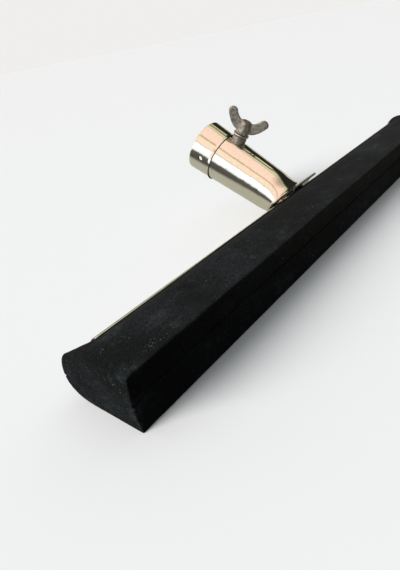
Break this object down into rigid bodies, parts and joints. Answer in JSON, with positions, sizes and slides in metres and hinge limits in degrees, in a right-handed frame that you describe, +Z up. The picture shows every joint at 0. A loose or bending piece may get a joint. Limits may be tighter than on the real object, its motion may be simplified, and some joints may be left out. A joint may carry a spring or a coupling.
{
  "type": "floor squeegee head",
  "caption": "Double-blade foam squeegee head: half-round steel rail, tapered handle socket on a saddle foot, mouth ring and wing screw clamp.",
  "frame": {"origin": "middle of the flat underside of the lower blade", "axes": "+X along the head, +Y from the wiping edges towards the handle, +Z up, square to the flat underside"},
  "size_m": [0.35, 0.107, 0.0704],
  "materials": {
    "bright_steel": "bright zinc plated sheet steel, nearly a mirror",
    "zinc_steel": "dull zinc plated steel",
    "cast_metal": "rough brown-grey casting",
    "foam_rubber": "matt black cellular rubber with fine open pores"
  },
  "bodies": {
    "head": {"back_rail": "bright_steel", "upper_foam_blade": "foam_rubber", "lower_foam_blade": "foam_rubber", "handle_socket": "bright_steel", "saddle_rivet_left": "zinc_steel", "saddle_rivet_right": "zinc_steel", "mouth_ring": "bright_steel", "screw_boss": "cast_metal"},
    "screw_washer": {"screw_washer": "zinc_steel"},
    "wing_screw": {"screw_stud": "zinc_steel", "screw_wings": "cast_metal"}
  },
  "joints": [
    {"name": "screw_travel", "type": "slide", "parent": "head", "child": "screw_washer", "axis": [0.1908, -0.4982, 0.8458], "range_m": [0, 0.0045]},
    {"name": "screw_turn", "type": "hinge", "parent": "screw_washer", "child": "wing_screw", "pos_m": [0.00348, 0.06187, 0.05202], "axis": [0.1908, -0.4982, 0.8458], "range_deg": [0, 1530]}
  ],
  "couplings": [
    {"joint": "screw_travel", "follows": "screw_turn", "m_per_rad": 0.00015915}
  ]
}
